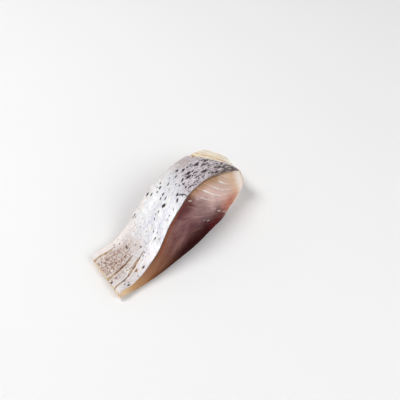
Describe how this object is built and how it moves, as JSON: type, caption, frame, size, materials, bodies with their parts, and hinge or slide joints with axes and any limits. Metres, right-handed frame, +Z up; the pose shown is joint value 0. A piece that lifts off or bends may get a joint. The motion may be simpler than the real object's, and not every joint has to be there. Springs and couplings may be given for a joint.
{
  "type": "lightly salted herring fillet slice",
  "caption": "Thick slice cut across a salted herring fillet, thin at the belly edge and humped towards the back, lying skin side up.",
  "frame": {"origin": "centre of the bounding box at the base, where the slice rests", "axes": "+X from the belly edge to the back of the fish, +Y from the cut that shows to the far cut, +Z up through the skin"},
  "size_m": [0.09, 0.0276, 0.0201],
  "materials": {
    "herring": "moist translucent mauve-pink flesh on the cuts, under a thin silver-white skin with black specks"
  },
  "bodies": {
    "root": {"herring_slice": "herring"}
  },
  "joints": []
}
